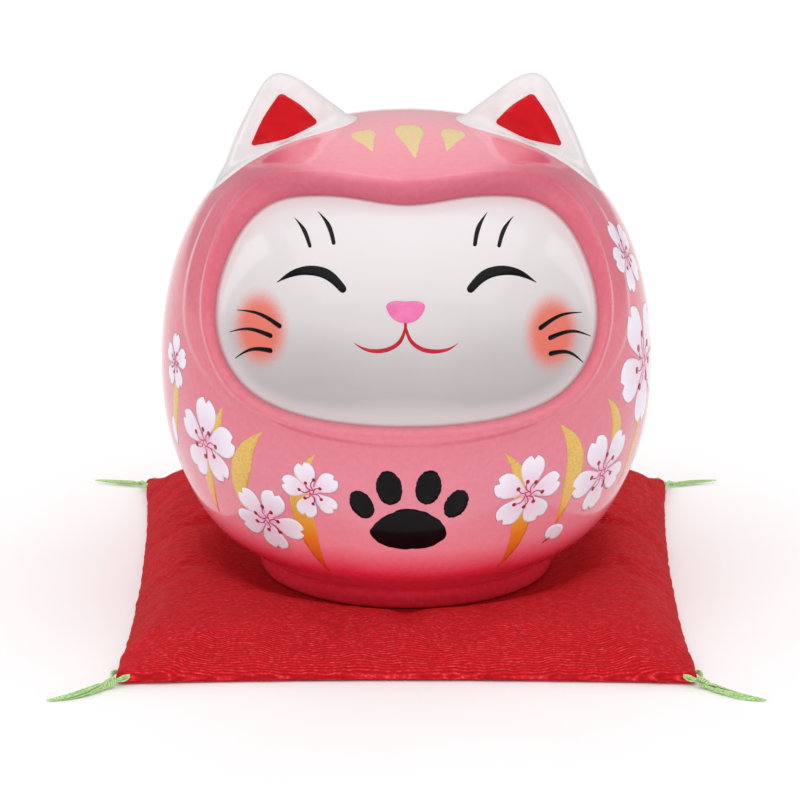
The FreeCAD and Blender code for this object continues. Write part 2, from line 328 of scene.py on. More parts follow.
# ---- materials ------------------------------------------------------------------------------------
class Nodes:
    """A short way to write a material's node tree."""

    def __init__(self, name):
        self.material = bpy.data.materials.new(name)
        self.material.use_nodes = True
        self.tree = self.material.node_tree
        self.shader = self.tree.nodes["Principled BSDF"]

    def add(self, kind, **settings):
        node = self.tree.nodes.new(kind)
        for key, value in settings.items():
            setattr(node, key, value)
        return node

    def link(self, source, target):
        self.tree.links.new(source, target)

    def set(self, **values):
        for key, value in values.items():
            self.shader.inputs[key.replace("_", " ")].default_value = value

    def place(self, scale=(1, 1, 1)):
        """Object coordinates in millimetres, scaled."""
        where = self.add("ShaderNodeTexCoord")
        mapping = self.add("ShaderNodeMapping")
        mapping.inputs["Scale"].default_value = [s / MM for s in scale]
        self.link(where.outputs["Object"], mapping.inputs["Vector"])
        return mapping.outputs["Vector"]

    def noise(self, vector, scale, detail=2.0, roughness=0.5):
        node = self.add("ShaderNodeTexNoise")
        node.inputs["Scale"].default_value = scale
        node.inputs["Detail"].default_value = detail
        node.inputs["Roughness"].default_value = roughness
        self.link(vector, node.inputs["Vector"])
        return node.outputs["Fac"]

    def ramp(self, value, stops, smooth_stops=False):
        node = self.add("ShaderNodeValToRGB")
        node.color_ramp.interpolation = "EASE" if smooth_stops else "LINEAR"
        elements = node.color_ramp.elements
        while len(elements) < len(stops):
            elements.new(0.5)
        for element, (position, colour) in zip(elements, stops):
            element.position = position
            element.color = rgb(colour) if isinstance(colour, str) else colour
        self.link(value, node.inputs["Fac"])
        return node.outputs["Color"]

    def feed(self, sockets, values):
        """Links each value that is a socket and sets the others."""
        for socket, value in zip(sockets, values):
            if isinstance(value, bpy.types.NodeSocket):
                self.link(value, socket)
            else:
                socket.default_value = value

    def tones(self, value, dark, light, low=0.3, high=0.7):
        """Dark where the value is low, light where it is high."""
        return self.ramp(value, [(low, dark), (high, light)])

    def mix(self, factor, a, b):
        node = self.add("ShaderNodeMix", data_type="RGBA")
        self.feed((node.inputs[0], node.inputs[6], node.inputs[7]), (factor, a, b))
        return node.outputs[2]

    def maths(self, kind, a, b):
        node = self.add("ShaderNodeMath", operation=kind)
        self.feed(node.inputs, (a, b))
        return node.outputs[0]

    def jittered(self, value, noise, amount):
        """The value moved by noise, at most half the amount each way."""
        return self.maths("ADD", value, self.maths("MULTIPLY", self.maths("SUBTRACT", noise, 0.5), amount))

    def fade(self):
        """The number that a mesh keeps at each of its points."""
        return self.add("ShaderNodeAttribute", attribute_name="fade").outputs["Fac"]

    def height_share(self, low, high):
        """0 at height low, 1 at height high, in millimetres."""
        where = self.add("ShaderNodeTexCoord")
        split = self.add("ShaderNodeSeparateXYZ")
        scale = self.add("ShaderNodeMapRange")
        scale.inputs["From Min"].default_value = low * MM
        scale.inputs["From Max"].default_value = high * MM
        self.link(where.outputs["Object"], split.inputs[0])
        self.link(split.outputs["Z"], scale.inputs["Value"])
        return scale.outputs["Result"]

    def bump(self, height, strength, distance):
        node = self.add("ShaderNodeBump")
        node.inputs["Strength"].default_value = strength
        node.inputs["Distance"].default_value = distance * MM
        self.link(height, node.inputs["Height"])
        return node.outputs["Normal"]

    def colour(self, socket):
        self.link(socket, self.shader.inputs["Base Color"])

    def normal(self, socket):
        self.link(socket, self.shader.inputs["Normal"])


def rgb(code):
    """Linear colour from an sRGB hex code."""
    parts = [int(code[i:i + 2], 16) / 255 for i in (0, 2, 4)]
    return tuple(p / 12.92 if p <= 0.04045 else ((p + 0.055) / 1.055) ** 2.4 for p in parts) + (1.0,)


def grey(level):
    return (level, level, level, 1.0)


def glazed(nodes, roughness=0.16, shine=0.4):
    """Fired glaze: a glassy coat over the colour, with a faint unevenness."""
    nodes.set(Roughness=roughness, Specular_IOR_Level=shine / 2, IOR=1.5)
    nodes.set(Coat_Weight=shine, Coat_Roughness=0.07)
    place = nodes.place()
    slow = nodes.noise(place, 0.09, 1.0)
    nodes.normal(nodes.bump(slow, 0.25, 0.5))


def pink_glaze():
    """Pink on the hood and the belly, running into crimson above the foot, with a band of painted shade under
    the brow and a painted highlight on the crown.
    """
    nodes = Nodes("pink_glaze")
    share = nodes.height_share(0, 100)
    wobble = nodes.noise(nodes.place((0.05, 0.05, 0.02)), 1.0, 2.0)
    base = nodes.ramp(nodes.jittered(share, wobble, 0.03), [
        (0.045, "FF3850"),
        (0.085, "FF2C4A"),
        (0.148, "FF2C4C"),
        (0.182, "F46076"),
        (0.222, "EC8694"),
        (0.32, "DA8292"),
        (0.60, "D46878"),
        # painted shade: the pink darkens in a band 86 to 93 mm up, round the whole head, under the brow's
        # roll; painted highlight: it lightens again on the crown above
        (0.86, "D2667A"),
        (0.90, "C45A6E"),
        (0.928, "CE6478"),
        (0.945, "E88E9E"),
        (1.00, "F2A6B0"),
    ])
    speck = nodes.noise(nodes.place(), 0.8, 3.0, 0.6)
    nodes.colour(nodes.mix(0.06, base, nodes.tones(speck, "C85A70", "F2A0AC", 0.4, 0.6)))
    glazed(nodes)
    return nodes.material


CHEEKS = [(-29.9, 65.9), (29.7, 65.2)]
CHEEK_SIZE = (7.0, 8.6)
CHEEK_DEPTH = 0.55      # how much a cheek's distance counts along Y, against its distance along X


def distance_from(nodes, centre):
    """Distance from a cheek's centre, which reaches 1 at the cheek's size."""
    across, up = CHEEK_SIZE
    where = nodes.add("ShaderNodeTexCoord")
    from_centre = nodes.add("ShaderNodeVectorMath", operation="SUBTRACT")
    from_centre.inputs[1].default_value = [c * MM for c in centre]
    nodes.link(where.outputs["Object"], from_centre.inputs[0])
    scaled = nodes.add("ShaderNodeVectorMath", operation="MULTIPLY")
    scaled.inputs[1].default_value = (1 / (across * MM), CHEEK_DEPTH / (across * MM), 1 / (up * MM))
    nodes.link(from_centre.outputs[0], scaled.inputs[0])
    far = nodes.add("ShaderNodeVectorMath", operation="LENGTH")
    nodes.link(scaled.outputs[0], far.inputs[0])
    return far.outputs["Value"]


def face_glaze():
    """White glaze with two sprayed cheeks, darkened towards the chin and lightened towards the brow as
    painted shade and highlight, and paler where fade falls to 0 beside the rim as painted light.
    """
    nodes = Nodes("face_glaze")
    tone = nodes.noise(nodes.place(), 0.05, 2.0)
    share = nodes.height_share(45, 95)
    # painted shade and highlight: the white is grey towards the chin and bright towards the brow
    white = nodes.ramp(nodes.jittered(share, tone, 0.12), [
        (0.05, "A8A0A1"),
        (0.22, "AFA7A9"),
        (0.34, "BAB3B4"),
        (0.47, "CEC7C8"),
        (0.85, "E2DCDE"),
    ])
    # painted light: the face is paler near the rim, against the crease's shade
    rim_painted_light_share = nodes.ramp(nodes.fade(), [(0.0, grey(0.32)), (1.0, grey(0.0))], smooth_stops=True)
    white = nodes.mix(rim_painted_light_share, white, rgb("FFF4F5"))
    grain = nodes.noise(nodes.place(), 2.2, 3.0, 0.7)
    for x, z in CHEEKS:
        far = distance_from(nodes, face_spot(x, z))
        edge = nodes.jittered(far, grain, 0.2)
        strength = nodes.ramp(edge, [(0.45, grey(0.85)), (1.0, grey(0.0))], smooth_stops=True)
        white = nodes.mix(strength, white, rgb("DC5A40"))
    nodes.colour(white)
    glazed(nodes, 0.14)
    return nodes.material


def plain_glaze(name, dark, light, roughness=0.2, shine=0.4):
    """Enamel or glaze in one colour with slight variation."""
    nodes = Nodes(name)
    tone = nodes.noise(nodes.place(), 0.35, 3.0, 0.6)
    nodes.colour(nodes.tones(tone, dark, light))
    glazed(nodes, roughness, shine)
    return nodes.material


def gold_leaf(name, dark, light):
    """Gold lustre that turns orange red where fade rises to 1."""
    nodes = Nodes(name)
    fade = nodes.fade()
    tone = nodes.noise(nodes.place(), 2.6, 4.0, 0.7)
    gold = nodes.tones(tone, dark, light)
    warm = nodes.ramp(fade, [(0.0, "DDB250"), (0.45, "EE9A2A"), (1.0, "E84A20")])
    share = nodes.tones(fade, "000000", "FFFFFF", 0.15, 0.6)
    nodes.colour(nodes.mix(share, gold, warm))
    nodes.set(Metallic=0.2, Roughness=0.34, Coat_Weight=0.4, Coat_Roughness=0.08)
    nodes.normal(nodes.bump(tone, 0.35, 0.05))
    return nodes.material


def petal_enamel():
    """White petals, pink towards the flower's middle where fade is 0."""
    nodes = Nodes("petal_enamel")
    veins = nodes.noise(nodes.place(), 0.7, 3.0, 0.6)
    nodes.colour(nodes.ramp(nodes.jittered(nodes.fade(), veins, 0.25), [
        (0.0, "E6A4C4"),
        (0.30, "E6C6DA"),
        (0.60, "E3D7E5"),
        (1.0, "EAE4EE"),
    ]))
    glazed(nodes, 0.22)
    return nodes.material


def crepe():
    """Red crepe: fine wavy wrinkles that run from side to side, 0.37 mm apart on level cloth, lighter on
    their crests and darker in their furrows as painted highlight and shade.
    """
    nodes = Nodes("red_crepe")
    where = nodes.add("ShaderNodeSeparateXYZ")
    nodes.link(nodes.place(), where.inputs[0])
    cloth = nodes.add("ShaderNodeCombineXYZ")
    nodes.link(nodes.maths("MULTIPLY", where.outputs["X"], 0.45), cloth.inputs["X"])
    nodes.link(where.outputs["Y"], cloth.inputs["Y"])
    lines = nodes.add("ShaderNodeTexWave", bands_direction="Y")
    lines.inputs["Scale"].default_value = 0.85
    lines.inputs["Distortion"].default_value = 1.8
    lines.inputs["Detail"].default_value = 2.0
    lines.inputs["Detail Scale"].default_value = 1.6
    nodes.link(cloth.outputs[0], lines.inputs["Vector"])
    breaks = nodes.noise(cloth.outputs[0], 1.3, 2.0, 0.7)
    fine = nodes.noise(nodes.place((1.15, 1.9, 1.9)), 1.0, 2.5, 0.65)
    pebbles = nodes.tones(fine, "000000", "FFFFFF", 0.32, 0.70)
    ridges = nodes.maths("MULTIPLY", lines.outputs["Fac"], breaks)
    crinkle = nodes.maths("ADD", nodes.maths("MULTIPLY", ridges, 0.9), nodes.maths("MULTIPLY", pebbles, 0.38))
    # painted highlight and shade: the red follows the wrinkles' height, dark in the furrows and light on the
    # crests
    lit_and_shaded_reds = [(0.15, "A00410"), (0.42, "BC0C18"), (0.62, "CE1C28"), (0.95, "F0585C")]
    base = nodes.ramp(crinkle, lit_and_shaded_reds)
    patches = nodes.noise(nodes.place(), 0.05, 2.0)
    nodes.colour(nodes.mix(0.10, base, nodes.tones(patches, "A80A14", "E42830", 0.35, 0.65)))
    nodes.set(Roughness=0.8, Sheen_Weight=0.06, Sheen_Roughness=0.4, Sheen_Tint=rgb("E84048"))
    nodes.set(Specular_IOR_Level=0.2)
    nodes.normal(nodes.bump(crinkle, 0.9, 0.20))
    return nodes.material


def thread(name, dark, light):
    nodes = Nodes(name)
    tone = nodes.noise(nodes.place(), 3.0, 2.0)
    nodes.colour(nodes.tones(tone, dark, light))
    nodes.set(Roughness=0.55, Sheen_Weight=0.4, Sheen_Roughness=0.35)
    nodes.normal(nodes.bump(nodes.noise(nodes.place((8, 8, 8)), 1.0, 1.0), 0.4, 0.05))
    return nodes.material


def wadding_fluff():
    nodes = Nodes("wadding")
    fluff = nodes.noise(nodes.place(), 1.2, 4.0, 0.7)
    nodes.colour(nodes.tones(fluff, "D8D6CC", "F4F2EA"))
    nodes.set(Roughness=0.95, Sheen_Weight=0.3)
    nodes.normal(nodes.bump(fluff, 0.6, 0.4))
    return nodes.material


def face_spot(x, z):
    """The point of the face whose place on the plain surface is (x, z)."""
    return skin(unit(front_point(x, z) - MIDDLE)[None, :])[0]


PINK = pink_glaze()
FACE_WHITE = face_glaze()
EAR_WHITE = plain_glaze("white_glaze", "DED6D7", "E6DEDF", 0.15)
EAR_RED = plain_glaze("red_enamel", "BC0616", "CC0E1C", 0.2, 0.25)
MOUTH_RED = plain_glaze("mouth_enamel", "A81024", "BC162C", 0.25)
STAMEN_RED = plain_glaze("stamen_enamel", "8C0C26", "A41634", 0.3)
NOSE_PINK = plain_glaze("pink_enamel", "DA689E", "E47AAC", 0.2)
BLACK = plain_glaze("black_enamel", "040304", "0A080A", 0.25, 0.15)
PETAL_EDGE = plain_glaze("petal_edge", "A8788C", "C092A4", 0.3)
GOLD = gold_leaf("gold_leaf", "C89A3C", "E8C262")
PALE_GOLD = gold_leaf("pale_gold_leaf", "E4C284", "F6DCA8")
PETAL = petal_enamel()
CREPE = crepe()
GREEN = thread("green_thread", "7EAE58", "D2F0B0")
PALE_THREAD = thread("pale_thread", "B03A40", "E0A0A0")
WADDING = wadding_fluff()


# ---- hood and body --------------------------------------------------------------------------------
CUT_Z = 12.0            # the rings of the hood end here, and rings of the foot go on
ROLL_RINGS = 14
FALL_RINGS = 32
FALL_WIDTH = 11.0       # the rim has run out on the plain surface this far past its crest
BODY_RINGS = 84
INNER_GAP = 8.0         # from the plain surface to the hollow inside
INNER_STRIDE = 220      # steps of the profile between the rings of that hollow

# the foot ring, its recess, the base plate and the firing vent, from outside to inside
FOOT_PROFILE = [
    (32.6, 10.3),
    (30.9, 9.35),
    (30.25, 8.9),
    (29.95, 8.5),
    (29.9, 8.1),
    (30.05, 7.6),
    (30.2, 6.6),
    (30.15, 5.6),
    (29.9, 5.0),
    (29.4, FOOT_Z + 0.08),
    (28.8, FOOT_Z),
    (26.4, FOOT_Z),
    (25.8, FOOT_Z + 0.25),
    (25.5, 5.6),
    (25.3, 6.3),
    (24.8, 6.6),
    (5.6, 6.6),
    (5.15, 6.75),
    (5.0, 7.2),
    (5.0, 11.0),
    (24.0, 11.4),
]


def ring_paths():
    """For each crease point, points along the surface from it to the back of the cat, with distances."""
    steps = 600
    share = np.linspace(0, 1, steps)
    turn = CREASE_TURN[:, None] + (math.pi - CREASE_TURN[:, None]) * share
    across = unit(CREASE_RAYS * [1, 0, 1])
    rays = across[:, None, :] * np.sin(turn)[:, :, None] + np.array([0, -1, 0]) * np.cos(turn)[:, :, None]
    points, normals = plain_surface(rays.reshape(-1, 3))
    points = points.reshape(RIM_STEPS, steps, 3)
    far = np.linalg.norm(np.diff(points, axis=1), axis=2)
    far = np.concatenate([np.zeros((RIM_STEPS, 1)), np.cumsum(far, axis=1)], axis=1)
    return points, normals.reshape(RIM_STEPS, steps, 3), far


def smooth_roll(share):
    """Places of the roll's rings from the crease, 0, to the crest, 1, closer together on its steep side."""
    return 1 - math.cos(math.pi / 2 * share)


def hood_points():
    """Rings from under the face's edge, over the rolled rim and round to the back."""
    points, normals, far = ring_paths()
    z = CREASE_Z
    width, crest, depth = roll_width(z), roll_height(z), face_depth(z)
    distances = [np.zeros(RIM_STEPS)]
    reliefs = [-depth - 0.9]
    for k in range(ROLL_RINGS):
        inside = 1 - smooth_roll(k / (ROLL_RINGS - 1))
        distances.append(width * (1 - inside))
        reliefs.append(-depth + (depth + crest) * math.sqrt(1 - inside ** ROLL_POWER))
    for k in range(1, FALL_RINGS + 1):
        past = FALL_WIDTH * k / FALL_RINGS
        distances.append(width + past)
        reliefs.append(rim_fall(np.full(RIM_STEPS, past), z))
    last = distances[-1]
    for k in range(1, BODY_RINGS + 1):
        distances.append(last + (far[:, -1] - last) * k / BODY_RINGS)
        reliefs.append(np.zeros(RIM_STEPS))
    rings = []
    for distance, relief in zip(distances, reliefs):
        ring = np.empty((RIM_STEPS, 3))
        for axis in range(3):
            for i in range(RIM_STEPS):
                ring[i, axis] = np.interp(distance[i], far[i], points[i, :, axis])
                ring[i, axis] += relief[i] * np.interp(distance[i], far[i], normals[i, :, axis])
        rings.append(ring)
    return rings


def close_foot(bm):
    """Carries the cut edge of the hood on over the foot, the vent and the hollow inside."""
    edge_points = [v for v in bm.verts if v.is_boundary and v.co.z < (CUT_Z + 2) * MM]
    edge_points.sort(key=lambda v: math.atan2(v.co.y, v.co.x))
    turns = [math.atan2(v.co.y, v.co.x) for v in edge_points]
    keep = HEIGHT > CUT_Z
    inner_r = (RADIUS - INNER_GAP * NORMAL_R)[keep][::INNER_STRIDE]
    inner_z = (HEIGHT - INNER_GAP * NORMAL_Z)[keep][::INNER_STRIDE]
    inside = [(r, z) for r, z in zip(inner_r, inner_z) if z > 14 and r > 0.5]
    count = len(edge_points)
    ring = edge_points
    for radius, height in FOOT_PROFILE + inside:
        following = []
        for turn in turns:
            place = (radius * MM * math.cos(turn), radius * MM * math.sin(turn), height * MM)
            following.append(bm.verts.new(place))
        for i in range(count):
            bm.faces.new((ring[i], ring[(i + 1) % count], following[(i + 1) % count], following[i]))
        ring = following
    bm.faces.new(ring)


def hood_and_body():
    rings = hood_points()
    points = np.concatenate(rings)
    faces = ring_faces(0, RIM_STEPS, len(rings))
    piece = new_piece("hood_and_body", points, faces, PINK, "figurine")
    bm = bmesh.new()
    bm.from_mesh(piece.data)
    bmesh.ops.remove_doubles(bm, verts=bm.verts, dist=2e-6)
    everything = bm.verts[:] + bm.edges[:] + bm.faces[:]
    bmesh.ops.bisect_plane(bm, geom=everything, plane_co=(0, 0, CUT_Z * MM), plane_no=(0, 0, 1),
                           clear_inner=True, dist=1e-8)
    low = [v for v in bm.verts if v.co.z < (CUT_Z + 1.5) * MM]
    bmesh.ops.remove_doubles(bm, verts=low, dist=0.12 * MM)
    close_foot(bm)
    bmesh.ops.recalc_face_normals(bm, faces=bm.faces)
    bm.to_mesh(piece.data)
    bm.free()
    piece.data.shade_smooth()
    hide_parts("body_shell")
    return piece


PAINTED_LIGHT_EDGE = 5.5         # width of the face's paler edge, painted light where the crease beside the rim would shade it
MM_PER_RADIAN = 46.0    # along the plain surface, about


def face_panel():
    """The sunk white face, a closed shell behind the hood's rim."""
    overlap = 0.12 / 45.0       # radians that the face runs on past the crease
    front_rings = 34
    back_rings = 8
    thickness = 0.8
    across = unit(CREASE_RAYS * [1, 0, 1])
    rings, fade = [], []
    for count, deeper in ((front_rings, 0.0), (back_rings, thickness)):
        layer = []
        for k in range(count):
            # fade is 0 at the rim and 1 deeper in; the face's glaze paints light where it is low
            from_rim = (1 - k / (count - 1)) * CREASE_TURN * MM_PER_RADIAN
            fade.append(np.clip(from_rim / PAINTED_LIGHT_EDGE, 0, 1))
            share = k / (count - 1)
            turn = CREASE_TURN * share + (overlap if share == 1 else 0.0)
            turn = np.maximum(turn, 1e-5)
            rays = across * np.sin(turn)[:, None] + np.array([0, -1, 0]) * np.cos(turn)[:, None]
            plain, normals = plain_surface(rays)
            layer.append(plain - normals * (face_depth(plain[:, 2]) + deeper)[:, None])
        rings += layer if deeper == 0 else layer[::-1]
    points = np.concatenate(rings)
    faces = ring_faces(0, RIM_STEPS, len(rings))
    piece = new_piece("face_panel", points, faces, FACE_WHITE, "figurine")
    fade_attribute(piece, np.concatenate(fade))
    tidy_normals(piece)
    return piece


# ---- ears -----------------------------------------------------------------------------------------
# where the white glaze of the right ear meets the body, in plan (x, y)
EAR_FOOT = [
    (9.9, 3.6),
    (11.6, -1.2),
    (17.6, -3.6),
    (25.2, -3.9),
    (32.8, -4.3),
    (38.0, -2.6),
    (39.9, 2.6),
    (38.1, 8.8),
    (32.4, 12.4),
    (25.0, 13.2),
    (16.6, 11.8),
    (11.4, 8.4),
]
# rings of the right ear: outer edge (x, z), inner edge (x, z), front y, back y
EAR_RINGS = [
    ((37.4, 87.6), (13.4, 99.9), -3.5, 11.4),
    ((35.5, 92.4), (15.1, 101.3), -2.8, 9.8),
    ((33.4, 97.2), (17.2, 103.0), -2.0, 8.4),
    ((31.4, 101.2), (19.2, 104.6), -1.1, 7.0),
    ((29.7, 104.3), (21.1, 106.0), -0.2, 5.8),
    ((28.5, 106.1), (22.7, 106.9), 0.6, 4.8),
    ((27.1, 107.25), (24.0, 107.4), 1.3, 3.9),
    ((26.1, 107.6), (25.0, 107.65), 1.9, 3.2),
]
EAR_STEPS = 96
EAR_AXIS = np.array([25.4, 3.6])
EAR_HALF = (14.1, 8.6)  # half length and half width of the foot, across and deep
EAR_TIP = (25.6, 2.55)
EAR_FILLET = 0.45       # least height of an ear's glaze over the crown, inside its foot


def crown_height(radius):
    upper = HEIGHT > BELLY_Z
    return np.interp(-radius, -RADIUS[upper], HEIGHT[upper])


def on_crown(plan, lift):
    """Points of the plain surface above plan positions."""
    heights = crown_height(np.linalg.norm(plan, axis=1))
    rays = unit(np.column_stack([plan, heights]) - MIDDLE)
    points, normals = plain_surface(rays)
    return points + normals * lift


def ear_points(side):
    foot = spline(EAR_FOOT, EAR_STEPS, closed=True)
    heading = foot - EAR_AXIS
    rings = [on_crown(EAR_AXIS + heading * 0.97, -1.2), on_crown(foot, -0.03),
             on_crown(EAR_AXIS + heading * 0.93, 0.35)]
    turns = np.unwrap(np.arctan2(heading[:, 1] / EAR_HALF[1], heading[:, 0] / EAR_HALF[0]))
    for (outer_x, outer_z), (inner_x, inner_z), front, back in EAR_RINGS:
        lean = np.cos(turns)
        ring = np.stack([
            (outer_x + inner_x) / 2 + lean * (outer_x - inner_x) / 2,
            (front + back) / 2 + np.sin(turns) * (back - front) / 2,
            (outer_z + inner_z) / 2 + lean * (outer_z - inner_z) / 2,
        ], axis=1)
        ring[:, 2] = np.maximum(ring[:, 2], crown_height(np.linalg.norm(ring[:, :2], axis=1)) + EAR_FILLET)
        rings.append(ring)
    tip = np.array([*EAR_TIP, EAR_TOP - 0.6])
    rings.append(np.repeat(tip[None, :], EAR_STEPS, axis=0))
    stack = np.array(rings)
    stack[:, :, 0] *= side
    return stack


def ear(side):
    """One ear with a spread foot that runs out on the crown."""
    stack = ear_points(side)
    rows = 54
    columns = []
    for i in range(EAR_STEPS):
        rise = spline(stack[1:, i], rows)
        columns.append(np.vstack([stack[:1, i], rise]))
    grid = np.array(columns).transpose(1, 0, 2)
    name = "right_ear_glazed" if side > 0 else "left_ear_glazed"
    faces = ring_faces(0, EAR_STEPS, rows + 1) + [tuple(range(EAR_STEPS))]
    piece = new_piece(name, grid.reshape(-1, 3), faces, EAR_WHITE, "figurine")
    tidy_normals(piece)
    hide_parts("right_ear" if side > 0 else "left_ear")
    return piece


# ---- painted and raised decoration ----------------------------------------------------------------
SUNK = 0.12             # how far a decoration's underside lies in the glaze below it


class Relief:
    """Thin raised enamel shapes of one colour, gathered into one closed mesh."""

    def __init__(self, lift):
        self.lift = lift
        self.points = []
        self.faces = []
        self.fade = []

    def add(self, outline, place, spacing=0.8, fade=None):
        """outline is a closed plane shape; place(points, lift) puts plane points on the surface."""
        outline = np.array(outline, float)
        low, high = outline.min(0), outline.max(0)
        xs = np.arange(low[0] + spacing / 2, high[0], spacing)
        ys = np.arange(low[1] + spacing / 2, high[1], spacing)
        grid = [(x, y) for x in xs for y in ys]
        plane = [Vector(p) for p in outline] + [Vector(p) for p in grid]
        count = len(outline)
        edges = [(i, (i + 1) % count) for i in range(count)]
        found, _, triangles, origins, _, _ = delaunay_2d_cdt(plane, edges, [], 1, 1e-5)
        flat = np.array([tuple(p) for p in found])
        rim = {i for i, sources in enumerate(origins) if any(s < count for s in sources)}
        used = sorted({i for t in triangles for i in t})
        number = {old: new for new, old in enumerate(used)}
        flat_used = flat[used]
        edge_lift = max(self.lift * 0.35, self.lift - 0.045)
        lifts = np.array([edge_lift if i in rim else self.lift for i in used])
        top = place(flat_used, lifts)
        bottom = place(flat_used, np.full(len(used), -SUNK))
        start = len(self.points)
        size = len(used)
        self.points += list(top) + list(bottom)
        borders = {}
        for triangle in triangles:
            ids = [start + number[i] for i in triangle]
            self.faces.append(tuple(ids))
            self.faces.append(tuple(i + size for i in reversed(ids)))
            for k in range(len(ids)):
                edge = (ids[k], ids[(k + 1) % len(ids)])
                borders[edge] = True
        for a, b in list(borders):
            if (b, a) not in borders:
                self.faces.append((b, a, a + size, b + size))
        values = np.zeros(size) if fade is None else fade(flat_used)
        self.fade += list(values) + list(values)

    def make(self, name, material, slot):
        piece = new_piece(name, self.points, self.faces, material, "figurine")
        fade_attribute(piece, self.fade)
        tidy_normals(piece, merge=False)
        return piece


def on_face(plane, lift):
    """Plane points are (x, z) places on the cat's front."""
    return skin(unit(front_point(plane[:, 0], plane[:, 1]) - MIDDLE), lift)


def patch(azimuth, height):
    """A placing function for shapes drawn on a plane that touches the body there."""
    turn = math.radians(azimuth)
    radius = radius_at(height)
    centre = np.array([radius * math.sin(turn), -radius * math.cos(turn), height])
    _, normal = plain_surface(unit(centre - MIDDLE)[None, :])
    right = np.array([math.cos(turn), math.sin(turn), 0.0])
    up = np.cross(normal[0], right)
    up = up if up[2] > 0 else -up

    def place(plane, lift):
        points = centre + plane[:, :1] * right + plane[:, 1:] * up
        return skin(unit(points - MIDDLE), lift)
    return place


MM_PER_DEGREE = math.radians(1) * MM_PER_RADIAN


def round_body(plane, lift):
    """Plane points are (azimuth in degrees times MM_PER_DEGREE, height)."""
    turn = np.radians(plane[:, 0] / MM_PER_DEGREE)
    radius = radius_at(plane[:, 1])
    points = np.stack([radius * np.sin(turn), -radius * np.cos(turn), plane[:, 1]], axis=1)
    return skin(unit(points - MIDDLE), lift)


THINNEST = 0.02         # a stroke never narrows below this
ROUND_END = 0.2         # a stroke at least this wide at its end gets a round cap


def stroke(points, widths, count=26):
    """Outline of a brush stroke along a curve; widths belong to the points."""
    path = spline(points, count)
    knots = np.linspace(0, 1, len(widths))
    width = np.interp(np.linspace(0, 1, count), knots, widths)
    width = np.convolve(np.pad(width, 2, mode="edge"), np.ones(5) / 5, mode="valid")
    width[0] = max(widths[0], THINNEST)
    width[-1] = max(widths[-1], THINNEST)
    ahead = np.gradient(path, axis=0)
    ahead /= np.linalg.norm(ahead, axis=1)[:, None]
    aside = np.stack([-ahead[:, 1], ahead[:, 0]], axis=1)
    left = path + aside * width[:, None] / 2
    right = path - aside * width[:, None] / 2
    caps = {0: [], -1: []}
    for end in (0, -1):
        if widths[end] < ROUND_END:
            continue
        out = -ahead[0] if end == 0 else ahead[-1]
        for k in range(1, 6):
            turn = math.pi * k / 6
            across = aside[end] * math.cos(turn)
            caps[end].append(path[end] + (across + out * math.sin(turn)) * width[end] / 2)
    return np.array(list(left) + caps[-1] + list(right[::-1]) + caps[0][::-1])


def face_lines():
    """Eyes, brows and whiskers, drawn in black."""
    black = Relief(0.07)
    for side in (-1, 1):
        black.add(stroke([(side * 26.9, 75.3), (side * 23.6, 77.6), (side * 19.7, 78.7), (side * 16.2, 78.2),
                          (side * 13.2, 75.9)], [0.05, 1.15, 1.85, 2.1, 1.6], 34), on_face, 0.5)
    lines = [
        ([(-24.0, 87.9), (-21.9, 86.1), (-20.4, 83.3)], [0.05, 0.95, 0.75]),
        ([(-19.0, 89.9), (-16.7, 87.7), (-15.4, 84.5)], [0.05, 1.0, 0.85]),
        ([(17.3, 90.0), (15.4, 87.6), (14.4, 84.3)], [0.05, 1.0, 0.85]),
        ([(22.9, 88.4), (20.8, 86.4), (19.5, 83.5)], [0.05, 0.95, 0.8]),
        ([(-34.8, 68.3), (-30.3, 68.7), (-25.9, 67.2)], [0.1, 0.65, 1.0]),
        ([(-36.1, 63.7), (-32.2, 65.3), (-27.7, 65.0)], [0.1, 0.6, 1.0]),
        ([(-34.8, 58.9), (-31.2, 61.6), (-27.6, 62.1)], [0.1, 0.6, 1.0]),
        ([(36.0, 67.5), (31.6, 68.1), (27.3, 66.6)], [0.1, 0.65, 1.0]),
        ([(37.6, 62.4), (33.7, 64.5), (29.2, 64.3)], [0.1, 0.6, 1.0]),
        ([(35.9, 57.7), (32.4, 60.8), (29.2, 61.2)], [0.1, 0.6, 1.0]),
    ]
    for points, widths in lines:
        black.add(stroke(points, widths), on_face, 0.45)
    return black.make("eyes_brows_whiskers", BLACK, "black_enamel")


NOSE = [(0.0, 69.75), (1.6, 70.05), (2.9, 70.9), (3.75, 72.2), (3.95, 73.1), (3.2, 73.75), (0.0, 73.95)]


def nose_and_mouth():
    pink = Relief(0.1)
    pink.add(spline(mirrored(NOSE[::-1]), 60, closed=True) + [-0.2, 0.0], on_face, 0.5)
    pink.make("nose", NOSE_PINK, "pink_enamel")
    red = Relief(0.07)
    red.add(stroke([(-0.25, 70.2), (-0.25, 68.4)], [0.55, 0.6], 10), on_face, 0.3)
    left = [(-0.25, 69.0), (-1.3, 66.3), (-3.4, 64.8), (-6.4, 64.25), (-9.0, 64.75), (-10.7, 65.7)]
    right = [(-0.25, 69.0), (0.9, 66.3), (2.9, 64.8), (6.1, 64.2), (8.7, 64.65), (10.4, 65.6)]
    for side in (left, right):
        red.add(stroke(side, [0.5, 0.75, 0.85, 0.85, 0.6, 0.06], 40), on_face, 0.35)
    red.make("mouth", MOUTH_RED, "red_enamel")


